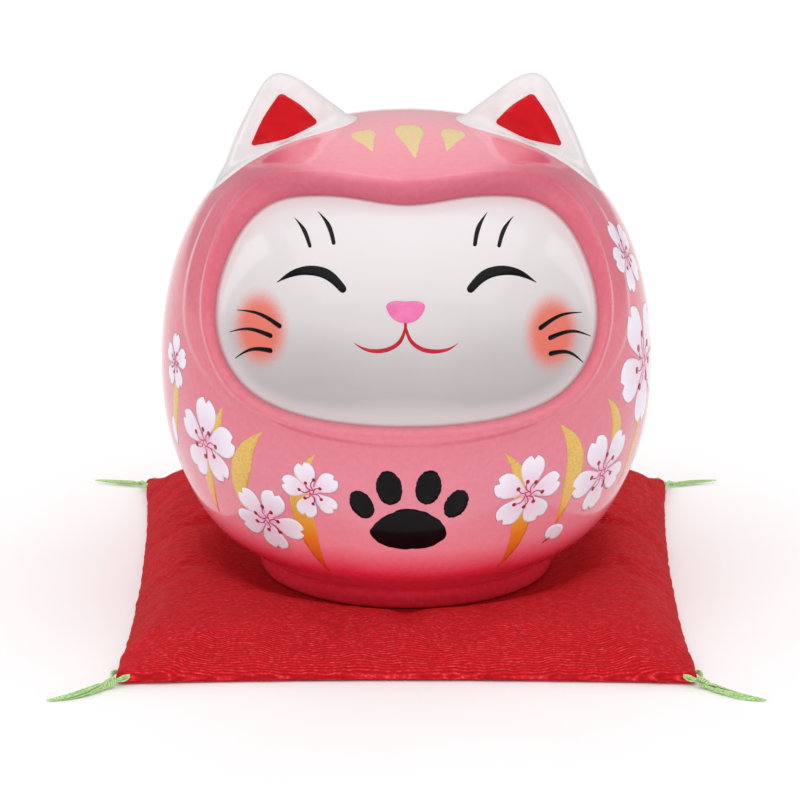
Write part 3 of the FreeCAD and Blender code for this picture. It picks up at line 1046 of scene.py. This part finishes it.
# each flower: azimuth, height, radius and the turn of its first petal
FLOWERS = [
    (-68.5, 53.3, 5.7, 91),
    (-53.9, 39.6, 9.2, 86),
    (-36.9, 26.0, 8.5, 131),
    (-22.5, 34.6, 6.5, 104),
    (29.7, 33.2, 8.1, 84),
    (54.0, 33.2, 9.2, 118),
    (75.1, 73.6, 7.8, 102),
    (73.0, 52.2, 13.2, 120),
]
# one side of a petal as shares of its length, and the notch in its end
PETAL_HALF = [(0.05, 0.04), (0.20, 0.13), (0.40, 0.26), (0.60, 0.345), (0.78, 0.345), (0.93, 0.24),
              (1.0, 0.10)]
NOTCH = (0.89, 0.0)
# two single buds: azimuth and height, and their outlines
LOOSE_BUD_AT = (42.0, 22.2)
LOOSE_BUD = np.array([(-2.6, 0.3), (-0.2, -2.1), (1.6, -2.1), (2.3, 0.0), (1.3, 1.5), (-0.1, 2.0),
                      (-2.0, 1.7)])
SIDE_BUD_AT = (-71.5, 38.0)
SIDE_BUD = [(0.2, 3.1), (1.4, 1.2), (1.3, -1.6), (0.2, -2.9), (-1.2, -1.0), (-1.1, 1.6)]
SIDE_BUD_EDGE = [(0.2, 3.3), (1.55, 1.3), (1.45, -1.7), (0.2, -3.1), (-1.35, -1.1), (-1.25, 1.7)]


def turned_plane(points, degrees):
    turn = math.radians(degrees)
    c, s = math.cos(turn), math.sin(turn)
    return np.array([(x * c - y * s, x * s + y * c) for x, y in points])


def ellipse(wide, tall, count):
    """Points round an ellipse with these half lengths."""
    turns = np.linspace(0, 2 * math.pi, count + 1)[:-1]
    return [np.array([wide * math.cos(a), tall * math.sin(a)]) for a in turns]


def petal_outline(radius, grow=0.0, stretch=1.0):
    """A notched petal along +X from the flower's middle."""
    side = spline([(x, y * stretch) for x, y in PETAL_HALF], 14)
    outline = np.vstack([side, [NOTCH], side[::-1] * [1, -1]]) * radius
    middle = np.array([0.55 * radius, 0])
    return outline + unit(outline - middle) * grow


def flowers():
    rng = random.Random(5)
    petals, edges, hearts, stamens = Relief(0.10), Relief(0.045), Relief(0.115), Relief(0.17)
    for azimuth, height, radius, first in FLOWERS:
        place = patch(azimuth, height)
        for k in range(5):
            turn = first - 72 * k + rng.uniform(-4, 4)
            reach = radius * rng.uniform(0.95, 1.04)
            stretch = rng.uniform(0.94, 1.04)
            shape = turned_plane(petal_outline(reach, -0.06, stretch), turn)
            petals.add(shape, place, 0.6, fade=lambda p, r=radius: np.linalg.norm(p, axis=1) / r)
            edges.add(turned_plane(petal_outline(reach, 0.10, stretch), turn), place, 0.8)
        hearts.add(ellipse(radius * 0.2, radius * 0.2, 15), place, 0.5)
        for k in range(7):
            turn = first + 20 + 360 * k / 7 + rng.uniform(-9, 9)
            reach = radius * rng.uniform(0.30, 0.44)
            end = turned_plane([(reach, 0)], turn)[0]
            start, bend = turned_plane([(reach * 0.12, -reach * 0.14), (reach * 0.55, reach * 0.16)], turn)
            stamens.add(stroke([tuple(start), tuple(bend), tuple(end)], [0.21, 0.21, 0.21], 8), place, 0.5)
            dot = radius * 0.058
            stamens.add([end + p for p in ellipse(dot, dot, 11)], place, 0.5)
    loose = patch(*LOOSE_BUD_AT)
    petals.add(spline(LOOSE_BUD, 36, closed=True), loose, 0.5, fade=lambda p: np.full(len(p), 0.8))
    edges.add(spline(LOOSE_BUD * 1.05, 36, closed=True), loose, 0.6)
    stamens.add(stroke([(-0.9, -1.3), (-2.1, -2.6)], [0.4, 0.2], 8), loose, 0.5)
    side = patch(*SIDE_BUD_AT)
    petals.add(spline(SIDE_BUD, 30, closed=True), side, 0.5, fade=lambda p: np.full(len(p), 0.9))
    edges.add(spline(SIDE_BUD_EDGE, 30, closed=True), side, 0.6)
    petals.make("flower_petals", PETAL, "petal_enamel")
    edges.make("flower_edges", PETAL_EDGE, "petal_enamel")
    hearts.make("flower_hearts", PETAL, "petal_enamel")
    stamens.make("flower_stamens", STAMEN_RED, "red_enamel")


# each leaf: points (azimuth, height) from its upper tip, and the widths there
LEAVES = [
    ([(-34.7, 45.7), (-39.0, 41.8), (-42.2, 36.5), (-43.8, 31.5), (-44.4, 27.5)], [0.05, 2.9, 5.0, 3.8, 0.8]),
    ([(-21.1, 42.9), (-24.2, 38.9), (-26.0, 32.5), (-25.6, 26.5), (-24.8, 20.5), (-23.3, 14.6)],
     [0.05, 2.8, 4.4, 4.4, 2.9, 0.05]),
    ([(22.6, 43.0), (26.0, 39.2), (28.4, 32.5), (29.4, 26.0), (29.0, 20.5), (27.2, 15.3)],
     [0.05, 2.6, 3.8, 4.2, 2.9, 0.05]),
    ([(37.4, 46.8), (40.9, 43.0), (42.7, 38.5), (42.7, 34.0), (42.0, 29.5), (41.3, 24.6)],
     [0.05, 2.9, 4.4, 4.2, 2.8, 0.6]),
    ([(53.0, 49.4), (56.3, 45.8), (57.5, 41.8), (56.8, 37.5)], [0.05, 2.3, 3.4, 2.4]),
    ([(-66.8, 50.5), (-68.4, 45.0), (-70.0, 40.0), (-71.0, 35.5)], [2.2, 2.9, 2.8, 0.3]),
    ([(-46.6, 49.0), (-48.2, 46.3), (-49.5, 43.0)], [0.05, 1.7, 2.6]),
    ([(-54.8, 35.5), (-55.8, 30.5), (-57.3, 23.0)], [2.8, 2.7, 0.05]),
    ([(71.0, 40.5), (69.4, 35.5), (67.3, 27.5)], [1.2, 2.6, 0.3]),
]
LEAF_HIGH, LEAF_LOW = 36.0, 16.0        # gold above, orange red below


def leaves():
    gold = Relief(0.05)
    for points, widths in LEAVES:
        path = [(a * MM_PER_DEGREE, z) for a, z in points]
        gold.add(stroke(path, widths, 34), round_body, 0.8,
                 fade=lambda p: np.clip((LEAF_HIGH - p[:, 1]) / (LEAF_HIGH - LEAF_LOW), 0, 1))
    gold.make("gold_leaves", GOLD, "gold_leaf")


# gold drops on the crown: their outline, and for each the azimuth, height, half width, half length and turn
DROP = [(0.0, -1.0), (0.40, -0.42), (0.84, 0.18), (1.0, 0.56), (0.76, 0.90), (0.0, 1.0)]
DROPS = [(4.4, 97.8, 3.0, 8.2, 1), (-34.0, 97.5, 2.5, 5.6, 46), (38.4, 97.5, 2.5, 5.6, -46)]


def crown_drops():
    gold = Relief(0.06)
    for azimuth, height, half_width, half_length, turn in DROPS:
        shape = spline(mirrored(DROP), 44, closed=True) * [half_width, half_length]
        gold.add(turned_plane(shape, turn), patch(azimuth, height), 0.7)
    gold.make("crown_drops", PALE_GOLD, "gold_leaf")


def brushed(outline, rng, amount=0.16):
    """The outline with the uneven edge of a loaded brush."""
    outline = spline(outline, 90, closed=True)
    bumps = sum(rng.uniform(0.4, 1.0) * np.sin(np.arange(90) / 90 * 2 * math.pi * k + rng.uniform(0, 6))
                for k in (5, 9, 14, 21)) / 3
    centre = outline.mean(0)
    return outline + unit(outline - centre) * (bumps * amount)[:, None]


PAW_PAD = [(0, -9.2), (4.6, -8.6), (7.6, -5.6), (6.4, -2.2), (3.2, 0.7), (0, 1.6), (-3.2, 0.6),
           (-6.5, -2.3), (-7.6, -5.6), (-4.5, -8.5)]
# each toe: middle, half width, half height and turn
PAW_TOES = [
    (-9.4, 1.6, 2.4, 3.3, 24),
    (-3.9, 6.0, 2.6, 3.7, 8),
    (3.9, 6.1, 2.6, 3.7, -8),
    (9.5, 1.7, 2.4, 3.3, -24),
]


def paw_mark():
    """A brush-painted paw print on the belly."""
    rng = random.Random(11)
    black = Relief(0.07)
    place = patch(0.5, 30.6)
    black.add(brushed(PAW_PAD, rng, 0.2), place, 0.8)
    for x, y, wide, tall, turn in PAW_TOES:
        toe = ellipse(wide, tall, 10)
        black.add(brushed(turned_plane(toe, turn) + [x, y], rng, 0.14), place, 0.7)
    black.make("paw_mark", BLACK, "black_enamel")


EAR_PATCH = [(25.4, 104.8), (17.3, 98.4), (31.8, 93.4)]      # corners of the red inside of the right ear
CORNER = 1.2


def ear_patch(side, ear_piece):
    """The red inside of an ear, laid on its front."""
    tree = BVHTree.FromPolygons([v.co / MM for v in ear_piece.data.vertices],
                                [tuple(p.vertices) for p in ear_piece.data.polygons])
    corners = [np.array([side * x, z]) for x, z in EAR_PATCH]
    outline = []
    for i, corner in enumerate(corners):
        before, after = corners[i - 1], corners[(i + 1) % 3]
        back, ahead = unit(before - corner), unit(after - corner)
        start, stop = corner + back * CORNER * 1.5, corner + ahead * CORNER * 1.5
        for t in np.linspace(0, 1, 8):
            outline.append(start * (1 - t) ** 2 + corner * 2 * t * (1 - t) + stop * t ** 2)
        bulge = np.array([ahead[1], -ahead[0]])
        middle = (corner + after) / 2
        if np.dot(bulge, middle - sum(corners) / 3) < 0:
            bulge = -bulge
        span_start, span_end = stop, after - ahead * CORNER * 1.5
        for t in np.linspace(0, 1, 10)[1:-1]:
            outline.append(span_start * (1 - t) + span_end * t + bulge * 0.35 * math.sin(math.pi * t))

    def place(plane, lift):
        points = []
        for (x, z), up in zip(plane, lift):
            hit, normal, _, _ = tree.ray_cast(Vector((x, -40, z)), Vector((0, 1, 0)))
            points.append(np.array(hit) + np.array([0, -1, 0.25]) * up)
        return np.array(points)
    red = Relief(0.16)
    red.add(outline, place, 0.5)
    return red.make("right_ear_inside" if side > 0 else "left_ear_inside", EAR_RED, "red_enamel")


# ---- cushion --------------------------------------------------------------------------------------
SIDE_DIP = 2.0
CREST_Z = 9.0
SEAT_TOP = FOOT_Z - 0.05        # the cover just below the figurine's foot
EDGE_TOP = 2.6          # the cover's edge is a narrow roll between these heights
EDGE_SEAM = 1.2
UNDER_Z = 0.05
EDGE_ROLL = 0.5         # how far the seam stands out
FOOT_R = 30.2           # outer radius of the figurine's foot
SEAT_MARGIN = 0.5       # level cloth outside the foot
SEAT_SLOPE = 17.0       # width over which the cushion rises beside it
PUCKER = 0.09           # typical height of a pucker in the cover
GRID = 64


def cushion_plan(u, v):
    return u * (CUSHION_X - SIDE_DIP * (1 - v * v)), v * (CUSHION_Y - SIDE_DIP * (1 - u * u))


def cushion_puff(u, v):
    return (1 - np.abs(u) ** 10) * (1 - np.abs(v) ** 12)


def cushion_top(u, v):
    x, y = cushion_plan(u, v)
    rim = smooth((np.hypot(x, y) - FOOT_R - SEAT_MARGIN) / SEAT_SLOPE)
    inside = SEAT_TOP + (CREST_Z - SEAT_TOP) * rim
    return EDGE_TOP + (inside - EDGE_TOP) * cushion_puff(u, v)


def cushion_mesh():
    """Top and bottom cloth, and the narrow rolled edge with the seam between them."""
    share = np.linspace(-1, 1, GRID + 1)
    share = np.sign(share) * np.abs(share) ** 0.85
    u, v = np.meshgrid(share, share, indexing="ij")
    x, y = cushion_plan(u, v)
    inner_x, inner_y = x * (1 - EDGE_ROLL / CUSHION_X), y * (1 - EDGE_ROLL / CUSHION_Y)
    count = GRID + 1
    top = np.stack([inner_x, inner_y, cushion_top(u, v)], axis=-1).reshape(-1, 3)
    under = np.stack([inner_x, inner_y, np.full_like(x, UNDER_Z)], axis=-1).reshape(-1, 3)
    seam = np.stack([x, y, np.full_like(x, EDGE_SEAM)], axis=-1).reshape(-1, 3)
    edge = [(i, 0) for i in range(GRID)] + [(GRID, j) for j in range(GRID)]
    edge += [(i, GRID) for i in range(GRID, 0, -1)] + [(0, j) for j in range(GRID, 0, -1)]
    flat = [i * count + j for i, j in edge]
    points = np.vstack([top, under, seam[flat]])
    below, middle = count * count, 2 * count * count
    faces = []
    for i in range(GRID):
        for j in range(GRID):
            a = i * count + j
            faces.append((a, a + count, a + count + 1, a + 1))
            faces.append((a + below, a + 1 + below, a + count + 1 + below, a + count + below))
    for k, this in enumerate(flat):
        following = (k + 1) % len(flat)
        after = flat[following]
        faces.append((this, after, middle + following, middle + k))
        faces.append((middle + k, middle + following, after + below, this + below))
    return points, faces


SIM_SCALE = 10          # the cloth is simulated at ten times its size
SIM_FRAMES = 24
SLACK = 0.035           # spare length of the cover over its filling
MOST_MOVE = 1.3         # a point of the cover moves no further than this from where it started


def relaxed(points, faces):
    """The cover after a short cloth simulation under the pressure of its filling."""
    mesh = bpy.data.meshes.new("cover_at_rest")
    mesh.from_pydata([tuple(p * MM * SIM_SCALE) for p in points], [], faces)
    cover = bpy.data.objects.new("cover_at_rest", mesh)
    bpy.context.scene.collection.objects.link(cover)
    far = np.hypot(points[:, 0], points[:, 1])
    on_seam = np.abs(points[:, 2] - EDGE_SEAM) < 1e-6
    under_foot = (far < FOOT_R + 1.5) & (points[:, 2] > EDGE_TOP)
    on_floor = points[:, 2] < 2 * UNDER_Z
    held = np.nonzero(on_seam | under_foot | on_floor)[0]
    group = cover.vertex_groups.new(name="held")
    group.add([int(i) for i in held], 1.0, "REPLACE")
    cloth = cover.modifiers.new("cloth", "CLOTH")
    settings = cloth.settings
    settings.vertex_group_mass = "held"
    settings.quality = 7
    settings.mass = 0.25
    settings.tension_stiffness = 12
    settings.compression_stiffness = 12
    settings.shear_stiffness = 4
    settings.bending_stiffness = 0.35
    settings.shrink_min = -SLACK
    settings.use_pressure = True
    settings.uniform_pressure_force = 1.6
    settings.effector_weights.gravity = 0
    cloth.collision_settings.use_collision = False
    cloth.point_cache.frame_end = SIM_FRAMES
    for step in range(1, SIM_FRAMES + 1):
        bpy.context.scene.frame_set(step)
    result = cover.evaluated_get(bpy.context.evaluated_depsgraph_get()).to_mesh()
    settled = np.array([v.co for v in result.vertices]) / (MM * SIM_SCALE)
    bpy.data.objects.remove(cover)
    bpy.context.scene.frame_set(1)
    return settled


def keep_close(settled, start, furthest):
    """Pulls back points that moved further than the cushion's own space allows."""
    move = settled - start
    far = np.linalg.norm(move, axis=1)[:, None]
    kept = start + move * np.minimum(1.0, furthest / np.maximum(far, 1e-9))
    kept[:, 0] = np.clip(kept[:, 0], -CUSHION_X, CUSHION_X)
    kept[:, 1] = np.clip(kept[:, 1], -CUSHION_Y, CUSHION_Y)
    lowest = np.where(start[:, 2] > EDGE_SEAM, start[:, 2] - 0.1, 0.03)
    kept[:, 2] = np.clip(kept[:, 2], lowest, CUSHION_TOP + 1.5)
    return kept


def puckers(x, y):
    """Height of the cover's soft puckers, which run mostly from side to side."""
    rng = random.Random(21)
    waves = 60
    height = np.zeros_like(x)
    for _ in range(waves):
        pitch = rng.uniform(2.6, 9.0)
        lean = rng.gauss(0, 0.45)
        phase = rng.uniform(0, 2 * math.pi)
        height += np.sin(2 * math.pi * (x * math.sin(lean) + y * math.cos(lean)) / pitch + phase)
    return height / math.sqrt(waves)


def cushion():
    points, faces = cushion_mesh()
    past_foot = np.hypot(points[:, 0], points[:, 1]) - FOOT_R
    furthest = MOST_MOVE * smooth((past_foot - 2) / 13)[:, None] + 0.02
    points = keep_close(relaxed(points, faces), points, furthest)
    piece = new_piece("cushion_cover", points, faces, CREPE, "cushion")
    tidy_normals(piece)
    finer = piece.modifiers.new("finer", "SUBSURF")
    finer.levels = 2
    smooth_mesh = bpy.data.meshes.new_from_object(piece.evaluated_get(bpy.context.evaluated_depsgraph_get()))
    piece.modifiers.remove(finer)
    piece.data = smooth_mesh
    flat = np.empty(len(smooth_mesh.vertices) * 3)
    smooth_mesh.vertices.foreach_get("co", flat)
    place = flat.reshape(-1, 3) / MM
    normals = np.empty(len(smooth_mesh.vertices) * 3)
    smooth_mesh.vertices.foreach_get("normal", normals)
    rise = puckers(place[:, 0], place[:, 1]) * PUCKER
    rise *= np.clip((place[:, 2] - 0.2) / 1.0, 0.15, 1.0)
    rise *= smooth((np.hypot(place[:, 0], place[:, 1]) - FOOT_R - 1.0) / 4.0)
    place += normals.reshape(-1, 3) * rise[:, None]
    place[:, 2] = np.maximum(place[:, 2], 0.02)
    smooth_mesh.vertices.foreach_set("co", (place * MM).ravel())
    smooth_mesh.update()
    smooth_mesh.shade_smooth()
    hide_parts("cushion_top_cloth", "cushion_bottom_cloth")
    return piece


# ---- tassels --------------------------------------------------------------------------------------
def tube(path, radii, sides=6):
    """Points and faces of a round thread along a path, closed at both ends."""
    path = np.array(path, float)
    ahead = unit(np.gradient(path, axis=0))
    aside = unit(np.cross(ahead, [0.31, 0.17, 0.93]))
    up = np.cross(ahead, aside)
    points = []
    for k in range(len(path)):
        for s in range(sides):
            turn = 2 * math.pi * s / sides
            points.append(path[k] + (aside[k] * math.cos(turn) + up[k] * math.sin(turn)) * radii[k])
    faces = ring_faces(0, sides, len(path))
    faces.append(tuple(range(sides)))
    faces.append(tuple(range((len(path) - 1) * sides, len(path) * sides)))
    return points, faces


class Strands:
    """Many threads gathered into one mesh."""

    def __init__(self):
        self.points = []
        self.faces = []

    def add(self, path, radii, sides=6):
        points, faces = tube(path, radii, sides)
        start = len(self.points)
        self.points += points
        self.faces += [tuple(i + start for i in face) for face in faces]

    def make(self, name, body, *nodes):
        piece = new_piece(name, self.points, self.faces, GREEN, body)
        tidy_normals(piece)
        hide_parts(*nodes)
        return piece


class Tassel:
    """Directions and places that the loop, knot and tail of one tassel share."""

    def __init__(self, name):
        self.name = name
        joint = JOINTS[f"tassel_{name}_swing"]
        self.eye = np.array(joint["pos_m"]) / MM
        side, end = np.sign(self.eye[0]), np.sign(self.eye[1])
        self.front = end < 0
        level = unit(np.cross([0, 0, 1], joint["axis"]))
        self.level = level if level[0] * side > 0 else -level
        self.aside = unit(np.cross(self.level, [0, 0, 1]))
        self.corner = np.array([side, end, 1.0])
        low, high = box_mm(f"tassel_tail_{name}")
        drop, dip = (0.6, 0.7) if self.front else (1.25, 0.15)
        self.start = self.eye - self.level * 0.55 - [0, 0, drop]
        self.root = self.start + self.level * KNOT_LENGTH - [0, 0, dip]
        tip_x = high[0] if side > 0 else low[0]
        tip_y = high[1] if end > 0 else low[1]
        self.tip = np.array([tip_x, tip_y, 0.32 if self.front else 0.6])
        self.girth = 1.0 if self.front else 0.55

    def around(self, angle):
        return self.aside * math.cos(angle) + np.array([0, 0, 1]) * math.sin(angle)


KNOT_LENGTH = 2.35
KNOT_TURNS = 5
LOOP_THREAD = 0.2
COIL_THREAD = 0.22
HOLE_Z = 1.9


def tassel_loop(tassel):
    """Three threads through the cushion's corner, from its front or rear face to its side face."""
    threads = Strands()
    for k in (-1, 0, 1):
        z = HOLE_Z + k * 0.3
        path = [
            tassel.corner * [CUSHION_X - 2.2, CUSHION_Y - 2.2, z],
            tassel.corner * [CUSHION_X - 2.85, CUSHION_Y - 0.5, HOLE_Z + k * 0.2],
            tassel.corner * [CUSHION_X - 1.9, CUSHION_Y + 0.4 + abs(k) * 0.15, z - 0.1 + k * 0.2],
            tassel.start + [0, 0, k * 0.1],
            tassel.corner * [CUSHION_X + 0.5 + abs(k) * 0.15, CUSHION_Y - 1.5, z - 0.1 + k * 0.2],
            tassel.corner * [CUSHION_X - 0.4, CUSHION_Y - 2.9, HOLE_Z + k * 0.2],
        ]
        ring = spline(path, 40, closed=True)
        ring = np.vstack([ring, ring[:1]])
        threads.add(ring, np.full(len(ring), LOOP_THREAD), 7)
    threads.make(f"tassel_loop_threads_{tassel.name}", "cushion", f"tassel_loop_{tassel.name}")


def tassel_knot(tassel):
    """A thread wound round the gathered strands."""
    threads = Strands()
    run = tassel.root - tassel.start
    steps = 90
    coil = []
    for k in range(steps):
        share = k / (steps - 1)
        swell = tassel.girth * (0.34 + 0.40 * math.sin(math.pi * (0.15 + 0.72 * share)))
        coil.append(tassel.start + run * share + tassel.around(2 * math.pi * KNOT_TURNS * share) * swell)
    threads.add(coil, np.full(steps, COIL_THREAD * (0.6 + 0.4 * tassel.girth)), 7)
    for k in range(6):
        off = tassel.around(2 * math.pi * k / 6) * 0.36 * tassel.girth
        core = [tassel.start + off * (0.5 + 0.8 * t) + run * t for t in np.linspace(-0.04, 1.08, 8)]
        threads.add(core, np.full(8, 0.26 * tassel.girth))
    threads.make(f"tassel_knot_threads_{tassel.name}", f"tassel_{tassel.name}", f"tassel_knot_{tassel.name}")


TAIL_PLACES = [0.0, 0.10, 0.34, 0.60, 0.82, 0.94, 1.0]
TAIL_GIRTHS = [0.62, 1.0, 0.94, 0.70, 0.42, 0.22, 0.06]


def tassel_tail(tassel, rng):
    """Fine strands that lie together in a tapering tail."""
    threads = Strands()
    reach = tassel.tip - tassel.root
    sag = np.array([0, -1.3 if tassel.front else 0.0, 0])
    for _ in range(26 if tassel.front else 14):
        angle = rng.uniform(0, 2 * math.pi)
        out = math.sqrt(rng.uniform(0.3, 1.0))
        stop = rng.uniform(0.88, 1.0)
        twist = rng.uniform(1.2, 2.2)
        path, radii = [], []
        for t in np.linspace(-0.06, stop, 20):
            swell = tassel.girth * 0.82 * float(np.interp(t, TAIL_PLACES, TAIL_GIRTHS))
            centre = tassel.root + reach * t + sag * math.sin(math.pi * max(t, 0.0))
            point = centre + tassel.around(angle + twist * t) * swell * out
            point[2] = max(point[2], 0.2)
            path.append(point)
            radii.append(0.2 * (1 - 0.6 * max(t, 0.0)))
        threads.add(path, radii, 5)
    threads.make(f"tassel_tail_threads_{tassel.name}", f"tassel_{tassel.name}", f"tassel_tail_{tassel.name}")


# ---- build ----------------------------------------------------------------------------------------
hood_and_body()
face_panel()
for ear_side in (-1, 1):
    ear_patch(ear_side, ear(ear_side))
face_lines()
nose_and_mouth()
leaves()
flowers()
crown_drops()
paw_mark()
cushion()
thread_rng = random.Random(3)
for corner_name in ("front_left", "front_right", "rear_left", "rear_right"):
    this_tassel = Tassel(corner_name)
    tassel_loop(this_tassel)
    tassel_knot(this_tassel)
    tassel_tail(this_tassel, thread_rng)
for node_name, node_material in (("closing_stitches", PALE_THREAD), ("cushion_wadding", WADDING)):
    node = frame["nodes"][node_name]
    node.data.materials.clear()
    node.data.materials.append(node_material)


# ---- stage ----------------------------------------------------------------------------------------
FLOOR_HALF = 3.0        # metres


def add_floor():
    mesh = bpy.data.meshes.new("floor")
    half = FLOOR_HALF
    corners = [(-half, -half, 0), (half, -half, 0), (half, half, 0), (-half, half, 0)]
    mesh.from_pydata(corners, [], [(0, 1, 2, 3)])
    floor = bpy.data.objects.new("floor", mesh)
    nodes = Nodes("floor_paper")
    grain = nodes.noise(nodes.place(), 0.02, 2.0)
    nodes.colour(nodes.tones(grain, "F8F8F8", "FBFBFB"))
    nodes.set(Roughness=0.9)
    mesh.materials.append(nodes.material)
    bpy.context.scene.collection.objects.link(floor)


# name, place, aim and size in metres, watts, and whether the glaze mirrors it
LAMPS = [
    ("left", (-0.72, -0.40, 0.34), (0, 0, 0.04), (0.8, 0.7), 0.55, False),
    ("left_strip", (-0.78, 0.27, 0.34), (0, 0, 0.06), (0.24, 0.6), 0.75, True),
    ("right_strip", (0.78, 0.27, 0.34), (0, 0, 0.06), (0.24, 0.6), 0.65, True),
    ("right", (0.74, -0.36, 0.32), (0, 0, 0.04), (0.8, 0.7), 0.45, False),
    ("top", (0.0, -0.20, 0.84), (0, 0, 0.05), (1.6, 1.1), 5.6, True),
    ("low_front", (0.0, -0.90, 0.09), (0, 0, 0.02), (1.4, 0.20), 2.9, False),
    ("backdrop", (0.0, 0.90, 0.70), (0, 0.75, 0.0), (1.6, 0.8), 4.0, False),
]
WORLD_STRENGTH = 0.47


def add_light(name, place, aim, size, watts, mirrored_in_glaze):
    """A large soft lamp; most of them leave no reflection in the glaze."""
    data = bpy.data.lights.new(name, "AREA")
    data.shape = "RECTANGLE"
    data.size, data.size_y = size
    data.energy = watts
    lamp = bpy.data.objects.new(name, data)
    lamp.location = place
    lamp.visible_glossy = mirrored_in_glaze
    lamp.rotation_euler = (Vector(aim) - Vector(place)).to_track_quat("-Z", "Y").to_euler()
    bpy.context.scene.collection.objects.link(lamp)


def add_world():
    world = bpy.data.worlds.new("studio")
    world.use_nodes = True
    background = world.node_tree.nodes["Background"]
    background.inputs["Color"].default_value = (1.0, 1.0, 1.0, 1)
    background.inputs["Strength"].default_value = WORLD_STRENGTH
    bpy.context.scene.world = world


add_floor()
add_world()
for lamp_row in LAMPS:
    add_light(*lamp_row)
bpy.context.scene.view_settings.view_transform = "Standard"
